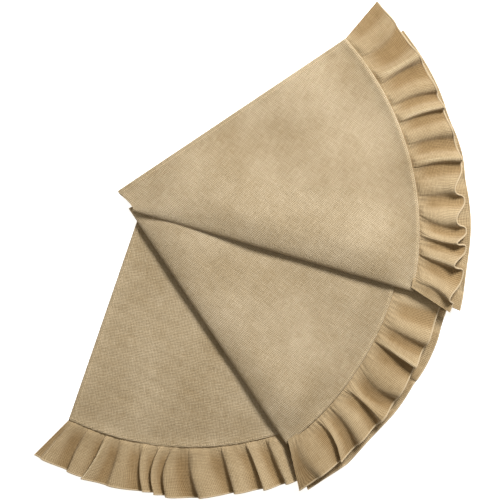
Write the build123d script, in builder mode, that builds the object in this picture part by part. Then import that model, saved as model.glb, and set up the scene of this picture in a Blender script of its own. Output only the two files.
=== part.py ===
"""Round burlap tree skirt with a gathered ruffle, fan-folded into five panels.

The skirt is one disc of cloth, slit once from hem to neck.  Two knife pleats fold it into a
stack of five panels.  From the floor up: bottom panel, lower return, middle panel, upper return
and top panel.  Each panel carries its own stretch of ruffle, hems and stitching.  The origin is
under the middle of the folded stack, +Z is up and +Y is the long way of the stack.
"""

import os
from dataclasses import dataclass
from math import atan2, degrees

from build123d import *

# Round sizes of the skirt, in millimetres.
SEAM_RADIUS = 576.0        # neck centre to the seam that joins the ruffle
RUFFLE_DEPTH = 100.0       # seam to hem
RUFFLE_HEM = 6.0           # rolled hem at the ruffle's edge
SEAM_ALLOWANCE = 12.0      # raw edges pressed under the panel
TOPSTITCH_INSET = 5.0      # seam to the line of stitching
NECK_RADIUS = 66.0         # opening for the trunk
NECK_HEM = 9.0
SLIT_HEM = 10.0
SLIT_STITCH_INSET = 7.0
THREAD_WIDTH = 1.2
THREAD_HEIGHT = 0.6

# Heights in the folded stack.
CLOTH = 3.0                # one panel, with the loft of its weave
TURNING = 1.5              # share of that thickness taken by a turned-under edge
PITCH = 8.0                # panel to panel
PLEAT_RISE = 12.0          # pleats of a ruffle that nothing covers
COVERED_RISE = 1.6         # pleats pressed flat under another panel
PLEAT_WIDTH = 9.0
PLEAT_SPACING = 36.0
PLEAT_END_GAP = 12.0       # room kept between the last pleat and a fold
SEAM_GAP = 4.0             # where a pleat starts, out from the seam


@dataclass(frozen=True)
class Side:
    """One straight side of a panel: where it starts at the neck and ends at the seam.

    flare turns the ruffle's end away from the panel, in degrees, anticlockwise positive.
    """

    neck: Vector
    seam: Vector
    flare: float = 0.0

    def inward(self):
        """Unit vector from the neck to the seam."""
        return (self.seam - self.neck).normalized()

    def outward(self, flared):
        """Unit vector along the ruffle's end."""
        return self.inward().rotate(Axis.Z, self.flare if flared else 0.0)

    def at(self, depth, flared=False):
        """Point at a depth outside the seam, or inside it where depth is negative."""
        if depth <= 0:
            return self.seam + self.inward() * depth
        return self.seam + self.outward(flared) * depth


@dataclass(frozen=True)
class Panel:
    """One panel of the stack, from its clockwise side round to its anticlockwise side.

    bare is the stretch of ruffle, as shares of its length, that no other panel covers.
    """

    name: str
    level: int
    sides: tuple
    bare: tuple

    def floor(self):
        """Height of the underside of the cloth."""
        return self.level * PITCH

    def faces_up(self):
        """True where the good side of the cloth is on top."""
        return self.level % 2 == 0


# Sides of the five panels, from the neck to the seam.
bottom_slit = Side(Vector(-227, 60), Vector(-366, -344), flare=-26)
bottom_bend = Side(Vector(-191, 67), Vector(52, -374))
lower_back = Side(Vector(-179, 104), Vector(321, 127), flare=17)
middle_front = Side(Vector(-241, 83), Vector(75, -389), flare=-21)
upper_back = Side(Vector(-190, 134), Vector(228, 366), flare=14)
top_front = Side(Vector(-236, 81), Vector(325, -81), flare=-17)
top_slit = Side(Vector(-272, 111), Vector(189, 420), flare=16)

PANELS = (
    Panel("bottom", 0, (bottom_slit, bottom_bend, lower_back), (0.0, 0.38)),
    Panel("lower_return", 1, (middle_front, lower_back), (0.0, 0.0)),
    Panel("middle", 2, (middle_front, upper_back), (0.0, 0.40)),
    Panel("upper_return", 3, (top_front, upper_back), (0.0, 0.0)),
    Panel("top", 4, (top_front, top_slit), (0.0, 1.0)),
)

# Folds: the lower level of the two that each one joins, its side and which way it bulges.
FOLDS = {
    "lower_back_fold": (0, lower_back, 1),
    "middle_front_fold": (1, middle_front, -1),
    "upper_back_fold": (2, upper_back, 1),
    "top_front_fold": (3, top_front, -1),
}
SLITS = {"bottom": (bottom_slit, 1), "top": (top_slit, -1)}


def save(part, name):
    """Label a finished piece and write its STEP file."""
    part.label = name
    export_step(part, f"parts/{name}.step")


def hem_arcs(panel, depth):
    """Arcs that follow the seam at a depth outside it, from side to side."""
    stops = [side.at(depth, flared=side in (bottom_slit, top_slit)) for side in panel.sides]
    return [RadiusArc(a, b, -(SEAM_RADIUS + depth)) for a, b in zip(stops, stops[1:])]


def band(panel, inner, outer, bottom, height):
    """Flat band along the seam, between two depths."""
    with BuildPart() as strip:
        with BuildSketch(Plane.XY.offset(bottom)):
            with BuildLine():
                near = hem_arcs(panel, inner)
                far = hem_arcs(panel, outer)
                Line(near[0] @ 0, far[0] @ 0)
                Line(near[-1] @ 1, far[-1] @ 1)
            make_face()
        extrude(amount=height)
    return strip.part


def side_strip(side, hand, start, end, first, last, bottom, height):
    """Straight strip beside one side of a panel, from one inset to another."""
    along = degrees(atan2(side.inward().Y, side.inward().X))
    length = (side.seam - side.neck).length
    place = Plane(origin=(side.neck.X, side.neck.Y, bottom), z_dir=(0, 0, 1)).rotated((0, 0, along))
    with BuildPart() as strip:
        with BuildSketch(place):
            with Locations(((start + length - end) / 2, hand * (first + last) / 2)):
                Rectangle(length - start - end, last - first)
        extrude(amount=height)
    return strip.part


def good_side(panel, height):
    """Bottom of something that lies on the good side of the cloth."""
    return panel.floor() + CLOTH if panel.faces_up() else panel.floor() - height


def turned_side(panel):
    """Bottom of an edge that is turned under to the wrong side."""
    return panel.floor() if panel.faces_up() else panel.floor() + CLOTH - TURNING


def neck_line(panel, inset):
    """Arc of the neck, or one inset from it, from the last side to the first."""
    first, last = panel.sides[0], panel.sides[-1]
    start = last.neck + last.inward() * inset
    end = first.neck + first.inward() * inset
    return RadiusArc(start, end, NECK_RADIUS + inset)


def make_neck_hem(panel, bottom, height):
    """Turned hem along the panel's share of the neck."""
    with BuildPart() as hem:
        with BuildSketch(Plane.XY.offset(bottom)):
            with BuildLine():
                edge = neck_line(panel, 0)
                inner = neck_line(panel, NECK_HEM)
                Line(edge @ 0, inner @ 0)
                Line(edge @ 1, inner @ 1)
            make_face()
        extrude(amount=height)
    return hem.part


def make_panel(panel):
    """Cloth of one panel, thinned on the wrong side where its edges are turned under."""
    with BuildPart() as cloth:
        with BuildSketch(Plane.XY.offset(panel.floor())):
            with BuildLine():
                seam = hem_arcs(panel, 0)
                neck_line(panel, 0)
                Line(panel.sides[0].neck, seam[0] @ 0)
                Line(seam[-1] @ 1, panel.sides[-1].neck)
            make_face()
        extrude(amount=CLOTH)
        add(band(panel, -SEAM_ALLOWANCE, 0, turned_side(panel), TURNING), mode=Mode.SUBTRACT)
        add(make_neck_hem(panel, turned_side(panel), TURNING), mode=Mode.SUBTRACT)
        if panel.name in SLITS:
            add(make_slit_hem(panel), mode=Mode.SUBTRACT)
    return cloth.part


def make_slit_hem(panel):
    """Turned hem down one edge of the slit, between the neck hem and the seam allowance."""
    side, hand = SLITS[panel.name]
    return side_strip(side, hand, 2 * NECK_HEM, 2 * SEAM_ALLOWANCE, 0, SLIT_HEM,
                      turned_side(panel), TURNING)


def make_slit_stitch(panel):
    """Line of thread that holds the slit hem."""
    side, hand = SLITS[panel.name]
    return side_strip(side, hand, 2 * NECK_HEM, 2 * SEAM_ALLOWANCE, SLIT_STITCH_INSET,
                      SLIT_STITCH_INSET + THREAD_WIDTH, good_side(panel, THREAD_HEIGHT), THREAD_HEIGHT)


def pleat_rise(panel, share):
    """Height of a pleat at a share of the ruffle's length."""
    first, last = panel.bare
    return PLEAT_RISE if first < share < last else COVERED_RISE


def make_ruffle(panel):
    """Gathered strip with pleats that rise from the seam to the hem on the good side."""
    with BuildLine() as seam:
        hem_arcs(panel, SEAM_GAP)
    with BuildLine() as hem:
        hem_arcs(panel, RUFFLE_DEPTH - RUFFLE_HEM)
    seam_wire, hem_wire = seam.wires()[0], hem.wires()[0]
    count = round((seam_wire.length - 2 * PLEAT_END_GAP) / PLEAT_SPACING)
    with BuildPart() as ruffle:
        add(band(panel, 0, RUFFLE_DEPTH - RUFFLE_HEM, panel.floor(), CLOTH))
        for number in range(count):
            share = (PLEAT_END_GAP + PLEAT_SPACING * (number + 0.5)) / seam_wire.length
            if share > 1 - PLEAT_END_GAP / seam_wire.length:
                continue
            root, tip = seam_wire @ share, hem_wire @ share
            rise = pleat_rise(panel, share)
            base = panel.floor() + (CLOTH if panel.faces_up() else 0)
            way = 1 if panel.faces_up() else -1
            face = Plane(origin=(tip.X, tip.Y, base), x_dir=(0, 0, way), z_dir=root - tip)
            point = Plane(origin=(root.X, root.Y, base), x_dir=(0, 0, way), z_dir=root - tip)
            with BuildSketch(face):
                Polygon((0, -PLEAT_WIDTH), (rise, 0), (0, PLEAT_WIDTH), align=None)
            with BuildSketch(point):
                Polygon((0, -1), (rise / PLEAT_RISE, 0), (0, 1), align=None)
            loft()
    return ruffle.part


def make_fold_roll(level, side, hand):
    """Half-round turn of cloth along a fold, from one panel up to the next."""
    across = side.inward().rotate(Axis.Z, 90 * hand)
    middle = level * PITCH + (PITCH + CLOTH) / 2
    end = Plane(origin=(side.neck.X, side.neck.Y, middle), x_dir=across, z_dir=side.inward())
    with BuildPart() as roll:
        with BuildSketch(end):
            Circle((PITCH + CLOTH) / 2)
            Circle((PITCH - CLOTH) / 2, mode=Mode.SUBTRACT)
            Rectangle(2 * PITCH, 2 * PITCH, align=(Align.MAX, Align.CENTER), mode=Mode.SUBTRACT)
        extrude(amount=(side.seam - side.neck).length)
    return roll.part


def make_ruffle_turn(level, side):
    """Fuller corner of the ruffle where it turns round a fold."""
    with BuildPart() as turn:
        with BuildSketch(Plane.XY.offset(level * PITCH)):
            with BuildLine():
                Polyline(side.seam, side.at(RUFFLE_DEPTH), side.at(RUFFLE_DEPTH, flared=True), close=True)
            make_face()
        extrude(amount=PITCH + CLOTH)
    return turn.part


def main():
    os.makedirs("parts", exist_ok=True)
    for panel in PANELS:
        save(make_panel(panel), f"{panel.name}_panel")
        save(make_ruffle(panel), f"{panel.name}_ruffle")
        hem = band(panel, RUFFLE_DEPTH - RUFFLE_HEM, RUFFLE_DEPTH, panel.floor(), CLOTH)
        save(hem, f"{panel.name}_ruffle_hem")
        allowance = band(panel, -SEAM_ALLOWANCE, 0, turned_side(panel), TURNING)
        save(allowance, f"{panel.name}_seam_allowance")
        stitch = band(panel, -TOPSTITCH_INSET - THREAD_WIDTH, -TOPSTITCH_INSET,
                      good_side(panel, THREAD_HEIGHT), THREAD_HEIGHT)
        save(stitch, f"{panel.name}_topstitch")
        save(make_neck_hem(panel, turned_side(panel), TURNING), f"{panel.name}_neck_hem")
        if panel.name in SLITS:
            save(make_slit_hem(panel), f"{panel.name}_slit_hem")
            save(make_slit_stitch(panel), f"{panel.name}_slit_stitch")
    for name, (level, side, hand) in FOLDS.items():
        save(make_fold_roll(level, side, hand), name)
        save(make_ruffle_turn(level, side), f"{name}_ruffle_turn")


main()
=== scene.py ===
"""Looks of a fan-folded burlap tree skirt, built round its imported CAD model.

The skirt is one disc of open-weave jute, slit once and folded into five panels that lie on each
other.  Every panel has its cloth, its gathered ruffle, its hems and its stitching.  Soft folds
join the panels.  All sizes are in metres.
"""

import logging
import math
from dataclasses import dataclass, field
from enum import Enum

import bpy
import numpy as np
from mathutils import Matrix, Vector


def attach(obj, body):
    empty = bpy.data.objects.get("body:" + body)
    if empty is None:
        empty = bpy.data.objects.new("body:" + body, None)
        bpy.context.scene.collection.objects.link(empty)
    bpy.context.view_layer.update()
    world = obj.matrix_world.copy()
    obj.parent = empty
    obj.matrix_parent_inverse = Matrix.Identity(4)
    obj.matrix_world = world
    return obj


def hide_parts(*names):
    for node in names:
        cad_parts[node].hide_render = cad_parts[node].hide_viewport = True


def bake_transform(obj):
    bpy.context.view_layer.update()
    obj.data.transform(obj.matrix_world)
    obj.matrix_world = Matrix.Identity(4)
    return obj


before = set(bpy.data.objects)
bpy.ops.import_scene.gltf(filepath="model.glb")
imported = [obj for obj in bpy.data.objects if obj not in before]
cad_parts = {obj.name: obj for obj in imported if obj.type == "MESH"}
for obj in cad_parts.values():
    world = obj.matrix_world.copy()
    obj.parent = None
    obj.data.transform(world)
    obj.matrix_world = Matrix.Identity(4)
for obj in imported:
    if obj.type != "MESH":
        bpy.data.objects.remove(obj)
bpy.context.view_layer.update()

log = logging.getLogger("tree_skirt")
Array = np.ndarray

SEAM_RADIUS = 0.576        # from the middle of the neck to the ruffle's seam
RUFFLE_DEPTH = 0.100       # from the seam to the hem
NECK_RADIUS = 0.066
NECK_HEM = 0.009
SLIT_HEM = 0.010
SEAM_ALLOWANCE = 0.012
PITCH = 0.008              # height from one panel to the next
CLOTH = 0.003              # height that one panel takes
WALL = 0.0009              # thickness of the woven cloth
FOLD_REACH = 0.005         # how far a fold bulges past its line
FOLD_INSET = 0.008         # strip of each panel that belongs to the fold
ROLL_STEPS = 14            # rows of mesh round one half of a fold
GRAIN_TURN = 0.13          # turn of the cloth's grain against the floor's axes, in radians
FIRST_SEED = 20            # seed of the lowest ruffle
SEED_STEP = 13             # from one ruffle's seed to the next


# ---------------------------------------------------------------------------------------------
# Plane geometry
# ---------------------------------------------------------------------------------------------

def unit(vector: Array) -> Array:
    """Vector or vectors scaled to length one."""
    return vector / np.linalg.norm(vector, axis=-1, keepdims=True)


def turned(vector: Array, angle: Array | float) -> Array:
    """Plane vectors turned anticlockwise by an angle in radians."""
    cos, sin = np.cos(angle), np.sin(angle)
    return np.stack([vector[..., 0] * cos - vector[..., 1] * sin,
                     vector[..., 0] * sin + vector[..., 1] * cos], axis=-1)


def ease(share: Array | float) -> Array:
    """Smooth step from 0 to 1, flat at both ends."""
    held = np.clip(share, 0.0, 1.0)
    return held * held * (3.0 - 2.0 * held)


def arc_between(start: Array, end: Array, radius: float, count: int) -> Array:
    """Points of an anticlockwise arc.

    Args:
        start: First point.
        end: Last point.
        radius: Radius of the arc; its centre is on the left of the way from start to end.
        count: Number of points.

    Returns:
        Array of points, evenly spaced.
    """
    chord = end - start
    half = np.linalg.norm(chord) / 2.0
    left = turned(chord / (2.0 * half), math.pi / 2.0)
    centre = (start + end) / 2.0 + left * math.sqrt(radius * radius - half * half)
    first = math.atan2(*(start - centre)[::-1])
    sweep = 2.0 * math.asin(half / radius)
    angles = first + sweep * np.linspace(0.0, 1.0, count)
    return centre + radius * np.stack([np.cos(angles), np.sin(angles)], axis=-1)


def evenly(points: Array, count: int) -> Array:
    """The same line with its points spaced evenly along it.

    Args:
        points: Line of points.
        count: Number of points to give back.

    Returns:
        Array of count points.
    """
    along = np.concatenate([[0.0], np.cumsum(np.linalg.norm(np.diff(points, axis=0), axis=1))])
    stops = np.linspace(0.0, along[-1], count)
    return np.stack([np.interp(stops, along, points[:, k]) for k in range(points.shape[1])], axis=-1)


def length_of(points: Array) -> float:
    """Length of a line of points."""
    return float(np.linalg.norm(np.diff(points, axis=0), axis=1).sum())


def ripple(x: Array, y: Array, seed: int, wave: float) -> Array:
    """Slow, irregular undulation from 0 to 1 over the plane.

    Args:
        x: Places along the first axis.
        y: Places along the second axis.
        seed: Seed of the wave directions and phases.
        wave: Typical length of a wave.

    Returns:
        Array of heights from 0 to 1.
    """
    rng = np.random.default_rng(seed)
    total = np.zeros_like(x)
    for _ in range(7):
        heading, phase = rng.uniform(0.0, math.pi), rng.uniform(0.0, 2.0 * math.pi)
        size = wave * rng.uniform(0.6, 1.7)
        total += np.sin((x * math.cos(heading) + y * math.sin(heading)) * 2.0 * math.pi / size + phase)
    return np.clip(0.5 + total / 7.0, 0.0, 1.0)


@dataclass(frozen=True)
class Side:
    """One straight side of a panel, from the neck to the seam.

    flare is the turn of the ruffle's end away from the panel, anticlockwise positive, in degrees.
    """

    neck: tuple[float, float]
    seam: tuple[float, float]
    flare: float = 0.0

    def points(self) -> tuple[Array, Array]:
        """Neck end and seam end as arrays."""
        return np.array(self.neck), np.array(self.seam)

    def along(self) -> Array:
        """Unit vector from the neck to the seam."""
        neck, seam = self.points()
        return unit(seam - neck)

    def mirror(self) -> Array:
        """Matrix, 2 by 3, that mirrors the plane in this side.

        Returns:
            The matrix, which takes a place with a 1 after it.
        """
        neck, _ = self.points()
        along = self.along()
        turn = 2.0 * np.outer(along, along) - np.eye(2)
        return np.column_stack([turn, neck - turn @ neck])


@dataclass(frozen=True)
class Fold:
    """Soft fold that joins a panel to the one above it."""

    name: str
    side: Side
    lower_level: int
    outward: int           # 1 where the fold bulges anticlockwise of its line, -1 where clockwise
    loft: float            # how much higher than flat the upper cloth stands beside the fold
    width: float           # half width of the rounded edge of the upper cloth

    def outer(self) -> Array:
        """Unit vector across the fold, away from the cloth."""
        return turned(self.side.along(), self.outward * math.pi / 2.0)

    def axis_height(self) -> float:
        """Height of the line that the fold turns about."""
        return self.lower_level * PITCH + (PITCH + CLOTH) / 2.0

    def reach_out(self, places: Array) -> Array:
        """Distance of places outside the fold's line."""
        neck, _ = self.side.points()
        return (places - neck) @ self.outer()

    def upper_height(self, out: Array, share: Array) -> Array:
        """Height of the upper cloth near the fold.

        Args:
            out: Distance outside the fold's line, negative inside.
            share: Place along the fold, from 0 at the neck to 1 at the seam.

        Returns:
            Array of heights.
        """
        body = ease(share / 0.14) * ease((1.0 - share) / 0.12)
        body = body * (0.86 + 0.14 * np.sin(9.0 * share + self.lower_level))
        wide = FOLD_REACH + (self.width - FOLD_REACH) * body
        rise = mid_height(self.lower_level + 1) - self.axis_height() + self.loft * body
        centred = out + wide - FOLD_REACH
        rounded = rise * np.sqrt(np.clip(1.0 - (np.maximum(centred, 0.0) / wide) ** 2, 0.0, 1.0))
        settled = rise - self.loft * body * (1.0 - np.exp(-((np.minimum(centred, 0.0) / 0.085) ** 2)))
        return self.axis_height() + np.where(centred > 0.0, rounded, settled)

    def lower_height(self, out: Array) -> Array:
        """Height of the lower cloth near the fold, at a distance outside its line.

        Args:
            out: Distance outside the fold's line, negative on the cloth.

        Returns:
            Height for each distance.
        """
        drop = self.axis_height() - mid_height(self.lower_level)
        curve = np.sqrt(np.clip(1.0 - (np.maximum(out, 0.0) / FOLD_REACH) ** 2, 0.0, 1.0))
        return self.axis_height() - drop * curve


def mid_height(level: int) -> float:
    """Height of the middle of the cloth of a panel, by its level in the stack."""
    return level * PITCH + (0.001 if level % 2 == 0 else CLOTH - 0.001)


# ---------------------------------------------------------------------------------------------
# The layout of the folded skirt
# ---------------------------------------------------------------------------------------------

BOTTOM_SLIT = Side((-0.227, 0.060), (-0.366, -0.344), -26.0)
LOWER_BACK = Side((-0.179, 0.104), (0.321, 0.127), 17.0)
MIDDLE_FRONT = Side((-0.241, 0.083), (0.075, -0.389), -21.0)
UPPER_BACK = Side((-0.190, 0.134), (0.228, 0.366), 14.0)
TOP_FRONT = Side((-0.236, 0.081), (0.325, -0.081), -17.0)
TOP_SLIT = Side((-0.272, 0.111), (0.189, 0.420), 16.0)
BOTTOM_BEND = (0.052, -0.374)

LOWER_BACK_FOLD = Fold("lower_back_fold", LOWER_BACK, 0, 1, 0.0, FOLD_REACH)
MIDDLE_FRONT_FOLD = Fold("middle_front_fold", MIDDLE_FRONT, 1, -1, 0.0110, 0.044)
UPPER_BACK_FOLD = Fold("upper_back_fold", UPPER_BACK, 2, 1, 0.0, FOLD_REACH)
TOP_FRONT_FOLD = Fold("top_front_fold", TOP_FRONT, 3, -1, 0.0140, 0.054)
FOLDS = (LOWER_BACK_FOLD, MIDDLE_FRONT_FOLD, UPPER_BACK_FOLD, TOP_FRONT_FOLD)


class PleatStyle(Enum):
    """How the pleats of a stretch of ruffle lie."""

    KNIFE = "knife"        # broad faces, each with a sharp edge that leans over the next
    SOFT = "soft"          # round waves
    FLAT = "flat"          # pressed pleats that lie over each other


@dataclass(frozen=True)
class PleatShape:
    """Sizes of one style of pleat."""

    spacing: float
    turn: float            # steepest turn of the cloth, in radians
    sharpness: float       # 0 gives round waves, 3 gives flat faces
    lean: float            # sideways shift for each unit of height
    rise: float            # tallest a pleat may stand
    start: float           # share of the wave that is there at the seam
    hollow: float          # above 1 the faces of the pleats are hollow


PLEATS = {
    PleatStyle.KNIFE: PleatShape(0.0500, 1.05, 0.9, -0.55, 0.0155, 0.34, 1.35),
    PleatStyle.SOFT: PleatShape(0.0520, 1.05, 0.5, -0.62, 0.0210, 0.12, 1.2),
    PleatStyle.FLAT: PleatShape(0.0400, 1.15, 1.5, -1.15, 0.0175, 0.32, 1.3),
}


# ---------------------------------------------------------------------------------------------
# Meshes
# ---------------------------------------------------------------------------------------------

def new_object(name: str, mesh: bpy.types.Mesh) -> bpy.types.Object:
    """Object of a mesh, linked to the scene at the origin.

    Args:
        name: Name of the object.
        mesh: Its mesh.

    Returns:
        The object.
    """
    made = bpy.data.objects.new(name, mesh)
    bpy.context.scene.collection.objects.link(made)
    return made


def sheet_mesh(name: str, places: Array, flat: Array, upward: bool,
               painted_shading: Array | None = None) -> bpy.types.Object:
    """Object of a grid of places.

    Args:
        name: Name of the piece.
        places: Array of rows by columns by 3.
        flat: Array of rows by columns by 2, the same points on the flat cut, for its UV map.
        upward: True where the grid runs anticlockwise seen from its good side above.
        painted_shading: Array of rows by columns, 0 for painted shade in a hollow and 1 for a painted
            highlight on a crest, if it varies.

    Returns:
        The object, smooth shaded, with a UV map in metres.
    """
    rows, columns, _ = places.shape
    corner = (np.arange(rows - 1)[:, None] * columns + np.arange(columns - 1)[None, :]).ravel()
    quads = np.stack([corner, corner + columns, corner + columns + 1, corner + 1], axis=-1)
    if not upward:
        quads = quads[:, ::-1]
    mesh = bpy.data.meshes.new(name)
    mesh.from_pydata(places.reshape(-1, 3).tolist(), [], quads.tolist())
    layer = mesh.uv_layers.new(name="grain")
    layer.data.foreach_set("uv", flat.reshape(-1, 2)[quads.ravel()].astype(np.float32).ravel())
    mesh.polygons.foreach_set("use_smooth", np.ones(len(quads), bool))
    ends = np.empty(2 * len(mesh.edges), int)
    mesh.edges.foreach_get("vertices", ends)
    row, column = (ends // columns).reshape(-1, 2), (ends % columns).reshape(-1, 2)
    in_row = row[:, 0] == row[:, 1]
    border = np.where(in_row, (row[:, 0] == 0) | (row[:, 0] == rows - 1),
                      (column[:, 0] == 0) | (column[:, 0] == columns - 1))
    mesh.attributes.new("sharp_edge", "BOOLEAN", "EDGE").data.foreach_set("value", border)
    # Per-point painted shade and painted highlight for the material; 0.5 leaves the colour as it is.
    painted_light = np.full((rows, columns), 0.5) if painted_shading is None else painted_shading
    layer = mesh.attributes.new("painted_shading", "FLOAT", "POINT")
    layer.data.foreach_set("value", painted_light.astype(np.float32).ravel())
    mesh.update()
    return new_object(name, mesh)


def thicken(piece: bpy.types.Object, wall: float) -> None:
    """Give a sheet its thickness, half on each side of its surface.

    Args:
        piece: The sheet.
        wall: Its thickness.
    """
    solid = piece.modifiers.new("wall", "SOLIDIFY")
    solid.thickness = wall
    solid.offset = 0.0
    solid.use_even_offset = False


def line_object(name: str, lines: list[Array]) -> bpy.types.Object:
    """Object of edges only, one chain for each line of points.

    Args:
        name: Name of the object.
        lines: Arrays of points, one for each chain.

    Returns:
        The object, with no faces.
    """
    verts, edges = [], []
    for points in lines:
        first = len(verts)
        verts += points.tolist()
        edges += [(first + k, first + k + 1) for k in range(len(points) - 1)]
    mesh = bpy.data.meshes.new(name)
    mesh.from_pydata(verts, edges, [])
    return new_object(name, mesh)


# ---------------------------------------------------------------------------------------------
# Geometry node trees: what follows a line, and what repeats along it
# ---------------------------------------------------------------------------------------------

@dataclass
class BeadTree:
    """Tree that sweeps a flattened bead along every line of a piece, for rolled hems."""

    width: float = 0.0034
    height: float = 0.0024
    corners: int = 8
    tree: bpy.types.NodeTree = field(init=False)

    def __post_init__(self) -> None:
        """Build the node tree."""
        tree = bpy.data.node_groups.new("rolled_hem", "GeometryNodeTree")
        face = tree.interface
        face.new_socket(name="Geometry", in_out="INPUT", socket_type="NodeSocketGeometry")
        face.new_socket(name="Width", in_out="INPUT", socket_type="NodeSocketFloat")
        face.new_socket(name="Height", in_out="INPUT", socket_type="NodeSocketFloat")
        face.new_socket(name="Corners", in_out="INPUT", socket_type="NodeSocketInt")
        face.new_socket(name="Material", in_out="INPUT", socket_type="NodeSocketMaterial")
        face.new_socket(name="Geometry", in_out="OUTPUT", socket_type="NodeSocketGeometry")
        nodes, links = tree.nodes, tree.links

        entry = nodes.new("NodeGroupInput")
        entry.label, entry.location = "hem line and sizes", (-900, 0)
        to_curve = nodes.new("GeometryNodeMeshToCurve")
        to_curve.label, to_curve.location = "line as a curve", (-650, 120)
        upright = nodes.new("GeometryNodeSetCurveNormal")
        upright.label, upright.location = "keep the bead level", (-450, 120)
        upright.mode = "Z_UP"
        ring = nodes.new("GeometryNodeCurvePrimitiveCircle")
        ring.label, ring.location = "round of the bead", (-650, -120)
        ring.inputs["Radius"].default_value = 0.5
        size = nodes.new("ShaderNodeCombineXYZ")
        size.label, size.location = "width and height", (-650, -300)
        flatten = nodes.new("GeometryNodeTransform")
        flatten.label, flatten.location = "flatten the round", (-420, -160)
        sweep = nodes.new("GeometryNodeCurveToMesh")
        sweep.label, sweep.location = "sweep the bead", (-180, 60)
        sweep.inputs["Fill Caps"].default_value = True
        smooth = nodes.new("GeometryNodeSetShadeSmooth")
        smooth.label, smooth.location = "smooth bead", (20, 60)
        realize = nodes.new("GeometryNodeRealizeInstances")
        realize.label, realize.location = "plain mesh", (220, 60)
        dress = nodes.new("GeometryNodeSetMaterial")
        dress.label, dress.location = "hem cloth", (420, 60)
        leave = nodes.new("NodeGroupOutput")
        leave.label, leave.location = "bead", (620, 60)

        links.new(entry.outputs["Geometry"], to_curve.inputs["Mesh"])
        links.new(to_curve.outputs["Curve"], upright.inputs["Curve"])
        links.new(entry.outputs["Corners"], ring.inputs["Resolution"])
        links.new(entry.outputs["Width"], size.inputs["X"])
        links.new(entry.outputs["Height"], size.inputs["Y"])
        links.new(ring.outputs["Curve"], flatten.inputs["Geometry"])
        links.new(size.outputs["Vector"], flatten.inputs["Scale"])
        links.new(upright.outputs["Curve"], sweep.inputs["Curve"])
        links.new(flatten.outputs["Geometry"], sweep.inputs["Profile Curve"])
        links.new(sweep.outputs["Mesh"], smooth.inputs["Geometry"])
        links.new(smooth.outputs["Geometry"], realize.inputs["Geometry"])
        links.new(realize.outputs["Geometry"], dress.inputs["Geometry"])
        links.new(entry.outputs["Material"], dress.inputs["Material"])
        links.new(dress.outputs["Geometry"], leave.inputs["Geometry"])
        self.tree = tree

    def make(self, name: str, lines: list[Array], material: bpy.types.Material,
             thin: float = 1.0) -> bpy.types.Object:
        """Bead along lines of points, as a plain mesh.

        Args:
            name: Name of the piece.
            lines: Lines of points that it follows.
            material: What it is made of.
            thin: Share of the usual width and height.

        Returns:
            The object.
        """
        path = line_object(name, lines)
        values = {"Width": self.width * thin, "Height": self.height * thin,
                  "Corners": self.corners, "Material": material}
        return baked(path, self.tree, values)


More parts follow.
